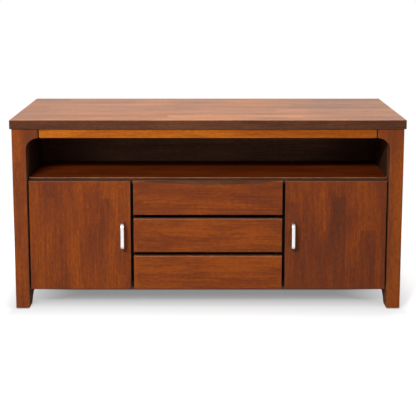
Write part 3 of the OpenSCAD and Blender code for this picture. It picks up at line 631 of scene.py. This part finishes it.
def facesUp(centre, normal):
    # 1 for faces that look up
    return normal[:, 2] > leans["up"]


def facesFront(centre, normal):
    # 1 for faces that look forwards
    return normal[:, 1] < -leans["front"]


def facesMiddle(centre, normal):
    # 1 for faces that look to the middle of the sideboard
    return np.sign(centre[:, 0]) * normal[:, 0] < -leans["middle"]


def facesEdge(centre, normal):
    # 0 for faces that look forwards or backwards, 1 for edges, and 2 for what looks down, which takes painted black
    # shade
    return np.where(normal[:, 2] < -leans["down"], 2, np.abs(normal[:, 1]) < leans["flat"])


# the top: a slab with softened edges, darker round its edge than on its face
topValues = {"ease": 2.0 * mm}
makeBoard("top_panel", ["topEdge", "top"], topValues["ease"], chooser=facesUp, name="top")

# legs; each front one is a post and a thinner bracket, cut from one board
legValues = {"ease": 1.5 * mm, "lower": 2.2 * mm, "bracketDepth": 25 * mm, "bracket": 38 * mm, "bracketEnd": 28 * mm,
             "arcSteps": 20, "footEdge": 10 * mm}


def legBox(node):
    # the leg's foot reaches down round its glide, which stands out only a little
    low, high = boxOf(node)
    return low - (0, 0, legValues["lower"]), high


def frontLegParts():
    # post and bracket together in front, and the post alone behind; a flat face closes the bracket's back
    low, high = legBox("left_front_leg")
    inner = high[0] - legValues["bracket"]
    under = high[2] - legValues["bracketEnd"]
    ease, curve = legValues["ease"], legValues["bracket"]
    split = low[1] + legValues["bracketDepth"]
    shape = [(low[0], low[2]), (inner, low[2]), (inner, under), (high[0], under), (high[0], high[2]),
             (inner, high[2]), (low[0], high[2])]
    front = outline(shape, [ease, ease, curve, ease, ease, 0, ease], legValues["arcSteps"])
    post = outline([(inner, high[2]), (low[0], high[2]), (low[0], low[2]), (inner, low[2]), (inner, under - curve)],
                   [0, ease, ease, ease, 0], legValues["arcSteps"])
    perCorner = legValues["arcSteps"] + 1
    bracket = front[0][2 * perCorner:6 * perCorner]
    cheek = np.column_stack([bracket[:, 0], np.full(len(bracket), split), bracket[:, 1]])
    return [prism(front, "y", low[1], split, ease, eased=(True, False), closed=(True, False)),
            prism(post, "y", split, high[1], ease, eased=(False, True), closed=(False, True)),
            (cheek, [list(range(len(cheek)))], np.zeros(len(cheek)), np.zeros(1, bool))]


def legFaces(centre, normal):
    # 1 for faces that look to the middle of the sideboard or down, which take a painted shaded copy of the leg stain,
    # and 2 for the foot's lowest edge, which takes painted black shade
    inner = facesMiddle(centre, normal) | (normal[:, 2] < -leans["under"])
    return np.where((normal[:, 2] < -leans["down"]) & (centre[:, 2] < legValues["footEdge"]), 2, inner)


# inner and lower faces of the legs take painted shade, and the foot's lowest edge painted black shade
legLooks = {side: [side + "Legs", "legInside", "black"] for side in sides}
for side, turned in sides.items():
    makePiece(side + "_front_leg", turned(frontLegParts()), legLooks[side], legFaces)
for side in sides:
    makePiece(side + "_back_leg", [board(*legBox(side + "_back_leg"), legValues["ease"])], legLooks[side], legFaces)

# rails, without their hidden tenons
railValues = {"ease": 1.0 * mm, "tenon": 20, "arch": 48 * mm, "archHeight": 30 * mm, "archSteps": 14}
apronValues = {"joint": 2.6, "tenonLow": (2, 8, 5), "tenonPast": 4, "tenonLess": 5 * mm, "tenonEase": 0.4 * mm,
               "darkFrom": 512 * mm}
tenonX, tenonY = (railValues["tenon"], 0, 0), (0, railValues["tenon"], 0)


def apronParts():
    # the rail stops short of the legs, and its tenon, painted black, stands for the shade at the bottom of the open
    # joint
    shoulder = railValues["tenon"] + apronValues["joint"]
    low, high = boxOf("front_apron")
    rail = board(*boxOf("front_apron", (shoulder, 0, 0)), railValues["ease"])
    tenonHigh = (low[0] + (shoulder + apronValues["tenonPast"]) * mm, *(high[1:] - apronValues["tenonLess"]))
    tenon = board(low + np.array(apronValues["tenonLow"]) * mm, tenonHigh, apronValues["tenonEase"])
    return [rail, tenon, *mirrored([tenon])]


def apronFaces(centre, normal):
    # 1 for the tenons, which take painted black shade
    return np.abs(centre[:, 0]) > apronValues["darkFrom"]


makePiece("front_apron", apronParts(), ["apron", "black"], apronFaces)
makeBoard("rear_top_rail", "rearRail", railValues["ease"], tenonX)


def bottomRailParts(side):
    # the lower edge is a flat arch between two parts of circles, which start at the rail's lower corners:
    # along = arch - arch * sin a, height = archHeight - arch + arch * cos a
    low, high = boxOf(side + "_bottom_rail", tenonY)
    curve = railValues["arch"]
    middle = railValues["archHeight"] - curve
    angle = np.linspace(math.acos((low[2] - middle) / curve), 0, railValues["archSteps"])
    rise = np.stack([curve - curve * np.sin(angle), middle + curve * np.cos(angle)], 1)
    front = rise + (low[1], 0)
    back = rise[::-1] * (-1, 1) + (high[1], 0)
    shape = [(low[1], low[2]), *front, *back, (high[1], low[2]), (high[1], high[2]), (low[1], high[2])]
    return [prism(outline(shape, 0, 0), "x", low[0], high[0], railValues["ease"])]


panelValues = {"ease": 0.6 * mm, "housed": (0, 6, 0)}
for side in sides:
    makeBoard(side + "_top_rail", "sideRails", railValues["ease"], tenonY)
    # the bottom rails' inner faces take painted shade
    makePiece(side + "_bottom_rail", bottomRailParts(side), ["sideRails", "railInside"], facesMiddle)
    # the side panels' inner faces take the dark partition stain: painted shade
    makeBoard(side + "_side_panel", ["sidePanels", "partitions"], panelValues["ease"], panelValues["housed"],
              chooser=facesMiddle)
print("frame and sides made")

# shelf of the bay, between the side panels
shelfValues = {"ease": 1.8 * mm, "relief": 8.5 * mm, "tongue": 6 * mm}


def shelfParts():
    # the outline steps back beside each leg, and its tongues end at the side panels' faces
    low, high = boxOf("bay_shelf")
    legFront, legBack = boxOf("left_front_leg")[1][1], boxOf("left_back_leg")[0][1]
    wide, narrow = high[0] - shelfValues["tongue"], high[0] - shelfValues["relief"]
    ease = shelfValues["ease"]
    right = [(narrow, low[1]), (narrow, legFront), (wide, legFront), (wide, legBack), (narrow, legBack),
             (narrow, high[1])]
    left = [(-x, y) for x, y in right[::-1]]
    radii = [ease, 0, ease, ease, 0, ease]
    return [prism(outline(right + left, radii + radii), "z", low[2], high[2], ease)]


# the boards of the cabinet and of the bay's back, less what is housed in their neighbours
cabinetValues = {"ease": 1.2 * mm, "partitionEase": 1.0 * mm, "plyEase": 0.5 * mm, "battenEase": 0.8 * mm,
                 "battenWidth": 18 * mm, "bottomHoused": (6, 0, 0), "partitionHoused": (0, 0, 5)}


def battenParts():
    low, high = boxOf("bay_corner_battens")
    batten = board(low, (low[0] + cabinetValues["battenWidth"], *high[1:]), cabinetValues["battenEase"])
    return [batten, *mirrored([batten])]


makePiece("bay_shelf", shelfParts(), ["shelf", "shelfEdge"], facesFront)
makeBoard("bottom_board", "inside", cabinetValues["ease"], cabinetValues["bottomHoused"])
for side in sides:
    # the partitions' front edges, seen through the gaps between doors and drawers, take painted black shade
    makeBoard(side + "_partition", ["partitions", "black"], cabinetValues["partitionEase"],
              cabinetValues["partitionHoused"], chooser=facesFront)
    makeBoard(side + "_cupboard_shelf", "inside", cabinetValues["ease"])
makeBoard("cabinet_back", "backPly", cabinetValues["plyEase"])
makeBoard("bay_back_panel", "bayPly", cabinetValues["plyEase"], name="bayBack")
makePiece("bay_corner_battens", battenParts(), "battens")
print("cabinet boards made")

# doors, with a mortise for each hinge knuckle
doorValues = {"ease": 1.8 * mm, "mortiseHeight": 20.6 * mm, "hingeHeights": (117 * mm, 339 * mm),
              "mortiseIn": 33 * mm, "mortiseDeep": 15 * mm, "cutPast": 3 * mm}


def mortises():
    # upright blocks that are cut out of the door's back at its hinge side; they reach past its edge and its back
    low, high = boxOf("left_door_panel")
    half = doorValues["mortiseHeight"] / 2
    shape = rectangle((low[0] - doorValues["cutPast"], high[1] - doorValues["mortiseDeep"]),
                      (low[0] + doorValues["mortiseIn"], high[1] + doorValues["cutPast"]))
    return [prism(outline(shape, 0, 0), "z", height - half, height + half, 0, eased=(False, False))
            for height in doorValues["hingeHeights"]]


for side, turned in sides.items():
    makePiece(side + "_door_panel", turned([board(*boxOf("left_door_panel"), doorValues["ease"])]),
              [side + "Door", "doorEdges", "black"], facesEdge, turned(mortises()), side + "Door")

# drawer fronts; the top one has a long shallow scoop along its upper edge
frontValues = {"ease": 1.8 * mm, "scoopWidth": 440 * mm, "scoopDrop": 10.5 * mm, "slope": math.radians(45),
               "scoopSteps": 90, "scoopPast": 1.12, "scoopPart": 0.45, "knifeHigh": 60 * mm, "knifeLong": 40 * mm}


def scoopKnife():
    # a circle's arc in a plane that slopes up to the back: sagitta = radius - sqrt(radius^2 - x^2)
    low, high = boxOf("top_drawer_front")
    cosine, sine = math.cos(frontValues["slope"]), math.sin(frontValues["slope"])
    half, deep = frontValues["scoopWidth"] / 2, frontValues["scoopDrop"] * cosine
    radius = (half ** 2 + deep ** 2) / (2 * deep)
    x = np.linspace(-half, half, frontValues["scoopSteps"]) * frontValues["scoopPast"]
    arc = np.stack([x, radius - np.sqrt(radius ** 2 - x ** 2)], 1)
    shape = [*arc, (x[-1], frontValues["knifeHigh"]), (x[0], frontValues["knifeHigh"])]
    verts, faces, marks, smooth = prism(outline(shape, 0, 0), "z", -frontValues["knifeLong"],
                                        frontValues["knifeLong"], 0, eased=(False, False))
    across, up, along = verts.T
    out = np.stack([across, low[1] + along * cosine - up * sine,
                    high[2] - frontValues["scoopDrop"] + along * sine + up * cosine], 1)
    return [(out, faces, marks, smooth)]


def scoopFaces(centre, normal):
    # as on the other fronts, and 3 for the scoop, whose faces look up and forwards
    scooped = facesUp(centre, normal) & (normal[:, 1] < -leans["scoop"])
    scooped &= np.abs(centre[:, 0]) < frontValues["scoopPart"] * frontValues["scoopWidth"]
    return np.where(scooped, 3, facesEdge(centre, normal))


makePiece("top_drawer_front", [board(*boxOf("top_drawer_front"), frontValues["ease"])],
          ["topDrawer", "drawerEdges", "black", "scoop"], scoopFaces, scoopKnife())
for level in levels[1:]:
    makeBoard(level + "_drawer_front", [level + "Drawer", "drawerEdges", "black"], frontValues["ease"],
              chooser=facesEdge)
print("doors and drawer fronts made")

# drawer boxes: sides with a groove for the runner, a back and a thin bottom
boxValues = {"ease": 0.8 * mm, "housed": (0, 6, 0), "groove": 10.6 * mm, "grooveDeep": 6.3 * mm, "bottomEase": 0.3 * mm,
             "bottomLow": (5, 5, 0), "bottomHigh": (5, 0, 0)}


def drawerSideParts(level):
    # the side's section, seen from the front, with the groove open to the outside; only its front end is housed
    low, high = boxOf(level + "_drawer_left_side", boxValues["housed"], (0, 0, 0))
    middle, half = (low[2] + high[2]) / 2, boxValues["groove"] / 2
    inner = low[0] + boxValues["grooveDeep"]
    ease = boxValues["ease"]
    shape = rectangle((low[0], low[2]), (high[0], high[2]))
    shape += [(low[0], middle + half), (inner, middle + half), (inner, middle - half), (low[0], middle - half)]
    return [prism(outline(shape, [ease, ease, ease, ease, ease, 0, 0, ease]), "y", low[1], high[1], ease)]


for level in levels:
    for side, turned in sides.items():
        makePiece(level + "_drawer_" + side + "_side", turned(drawerSideParts(level)), "boxSides")
    makeBoard(level + "_drawer_back", "boxBacks", boxValues["ease"])
    makeBoard(level + "_drawer_bottom", "boxBottoms", boxValues["bottomEase"], boxValues["bottomLow"],
              boxValues["bottomHigh"])

runnerValues = {"ease": 0.8 * mm, "height": 10 * mm, "thick": 7 * mm}


def runnerParts():
    # one runner at the middle of each drawer side's height
    low, high = boxOf("drawer_runners")
    half, runners = runnerValues["height"] / 2, []
    for level in levels:
        middle = sum(corner[2] for corner in boxOf(level + "_drawer_left_side")) / 2
        runners.append(board((low[0], low[1], middle - half),
                             (low[0] + runnerValues["thick"], high[1], middle + half), runnerValues["ease"]))
    return runners + mirrored(runners)


makePiece("drawer_runners", runnerParts(), "boxSides")
print("drawer boxes made")

# handles: a bow bent from flat bar, standing on its two ends
handleValues = {"width": 10 * mm, "thick": 8 * mm, "holes": 76 * mm, "out": 30 * mm, "bend": 16 * mm,
                "ease": 0.8 * mm, "inFromEdge": 24 * mm, "height": 231 * mm, "steps": 20}


def handleParts():
    # the bow's outline lies in the plane of out and up, and is carried across by the bar's width
    low, high = boxOf("left_door_panel")
    thick, holes, out, bend = (handleValues[part] for part in ("thick", "holes", "out", "bend"))
    rise, inner = (holes + thick) / 2, (holes - thick) / 2
    bow = [(0, -rise), (out, -rise), (out, rise), (0, rise), (0, inner), (out - thick, inner), (out - thick, -inner),
           (0, -inner)]
    shape = outline(bow, [0, bend, bend, 0, 0, bend - thick, bend - thick, 0], handleValues["steps"])
    half = handleValues["width"] / 2
    verts, faces, marks, smooth = prism(shape, "z", -half, half, handleValues["ease"])
    forwards, up, across = verts.T
    x = high[0] - handleValues["inFromEdge"] + across
    return [(np.stack([x, low[1] - forwards, handleValues["height"] + up], 1), faces, marks, smooth)]


for side, turned in sides.items():
    makePiece(side + "_door_handle", turned(handleParts()), "handle", name=side + "Handle")

# metal and plastic fittings keep their nodes and get the finish of their slot
fittings = {"zinc": "zinc", "pin_steel": "pins", "glide_plastic": "glides", "catch_plastic": "catches"}
for node, slot in slotOf.items():
    if slot in fittings:
        nodes[node].data.materials.clear()
        nodes[node].data.materials.append(looks[fittings[slot]])
print("handles and fittings finished")

# pale floor, white but for the sideboard's shadow, partly cast by the lamps and partly painted; a soft step is given
# by its two places and its two values
floorValues = {
    "size": 7.0, "bounce": 0.5, "front": -0.075, "back": 0.25, "beside": ((0.373, 0.69), (0.55, 4.0)),
    "glow": (0.02, 0.17, 0.262, 0.60), "lens": (0.08, 0.60, 0.22, 1.0), "whiteFrom": (0.8, 1.5),
    "deepFront": (-0.072, -0.050), "deepBack": (0.16, 0.24, 1.0, 0.0), "deepSides": (0.04, 0.14, 1.0, 0.0),
    "deepShade": 0.88, "feet": (("X", 0.0, 0.5735, 0.014), ("Y", 0.00725, 0.2295, 0.025)),
    "contact": (0.0, 0.010, 0.3, 1.0)}


def beyond(tree, value, middle, half):
    # how far a value is outside of middle - half and middle + half, and less than 0 inside of them
    away = sums(tree, "ABSOLUTE", sums(tree, "SUBTRACT", value, middle))
    return sums(tree, "SUBTRACT", away, half)


def floorMaterial():
    # for the lens the floor glows and takes light more the further it is from the sideboard, a painted softening of the
    # cast shadow: apart = the largest of the distances before and behind a rectangle under it, and of two beside it,
    # one gentle and one steep. Deep under the cabinet the floor is darker still, and so is a narrow line round each
    # foot;
    # both are painted shadow: touch = the larger of the distances from a foot along X and along Y
    material = bpy.data.materials.new("pale floor")
    tree = emptyTree(material)
    place = addNode(tree, "TexCoord").outputs["Object"]
    axes = axesOf(tree, place)
    apart = folded(tree, "MAXIMUM", sums(tree, "SUBTRACT", floorValues["front"], axes["Y"]),
                   sums(tree, "SUBTRACT", axes["Y"], floorValues["back"]),
                   *(sums(tree, "MULTIPLY", beyond(tree, axes["X"], 0.0, start), steep)
                     for start, steep in floorValues["beside"]))
    touch = folded(tree, "MAXIMUM", *(beyond(tree, beyond(tree, axes[axis], middle, 0.0), centre, half)
                                      for axis, middle, centre, half in floorValues["feet"]))
    # painted shadow deep under the cabinet, and a painted contact shadow round each foot
    deep = folded(tree, "MULTIPLY", between(tree, axes["Y"], *floorValues["deepFront"]),
                  between(tree, axes["Y"], *floorValues["deepBack"]),
                  between(tree, apart, *floorValues["deepSides"]), floorValues["deepShade"])
    light = sums(tree, "MULTIPLY", sums(tree, "SUBTRACT", 1.0, deep), between(tree, touch, *floorValues["contact"]))
    taken = sums(tree, "MULTIPLY", between(tree, apart, *floorValues["lens"]), light)
    glowing = sums(tree, "MULTIPLY", between(tree, apart, *floorValues["glow"]), light)
    shaded = addNode(tree, "BsdfDiffuse", {"Color": taken}).outputs[0]
    glow = addNode(tree, "Emission", {"Color": white, "Strength": glowing}).outputs[0]
    near = addNode(tree, "AddShader", {0: shaded, 1: glow}).outputs[0]
    far = addNode(tree, "Emission", {"Color": white, "Strength": 1.0}).outputs[0]
    distance = addNode(tree, "VectorMath", {0: place}, operation="LENGTH").outputs["Value"]
    seen = mixShaders(tree, between(tree, distance, *floorValues["whiteFrom"]), near, far)
    plain = addNode(tree, "BsdfDiffuse", {"Color": (*[floorValues["bounce"]] * 3, 1)}).outputs[0]
    addNode(tree, "OutputMaterial", {"Surface": mixShaders(tree, lookedAt(tree), plain, seen)})
    return material


floorMesh = bpy.data.meshes.new("floor")
reach = floorValues["size"] / 2
floorMesh.from_pydata([(x, y, 0) for x, y in rectangle((-reach, -reach), (reach, reach))], [], [(0, 1, 2, 3)])
floorMesh.materials.append(floorMaterial())
floor = addObject("floor", floorMesh)

# a little plain light comes from all round; the lens and mirror images see a white room, a little darker overhead
worldValues = {"light": 0.28, "overhead": (0.6, 0.9, 1.0, 0.85)}
world = bpy.data.worlds.new("studio")
scene.world = world
worldTree = emptyTree(world)
height = axesOf(worldTree, addNode(worldTree, "TexCoord").outputs["Generated"])["Z"]
room, surroundings = (addNode(worldTree, "Background", {"Color": white, "Strength": strength}).outputs[0]
                      for strength in (worldValues["light"], between(worldTree, height, *worldValues["overhead"])))
addNode(worldTree, "OutputWorld", {"Surface": mixShaders(worldTree, lookedAt(worldTree), room, surroundings)})

# a soft box high in front and to the left, and wide ones above and behind; the one above isn't mirrored in the handles
lampValues = {
    "softBox": {"place": (-1.1, -3.0, 2.13), "aim": (0, -0.2, 0.3), "size": (1.0, 0.28), "power": 89.5,
                "mirrored": True},
    "overhead": {"place": (-0.06, -0.32, 1.64), "aim": (-0.03, -0.1, 0.59), "size": (0.7, 0.5), "power": 11,
                 "mirrored": False},
    "behind": {"place": (1.5, 1.9, 2.9), "aim": (0, 0, 0.3), "size": (1.6, 1.6), "power": 32, "mirrored": True},
}
for name, values in lampValues.items():
    lamp = bpy.data.lights.new(name, "AREA")
    lamp.shape = "RECTANGLE"
    lamp.size, lamp.size_y = values["size"]
    lamp.energy = values["power"]
    lampObject = addObject(name, lamp)
    lampObject.location = values["place"]
    towards = np.array(values["aim"]) - np.array(values["place"])
    lampObject.rotation_euler = (math.acos(-towards[2] / np.linalg.norm(towards)), 0,
                                 math.atan2(towards[1], towards[0]) - math.pi / 2)
    lampObject.visible_camera = False
    lampObject.visible_glossy = values["mirrored"]
print("floor and lamps set")
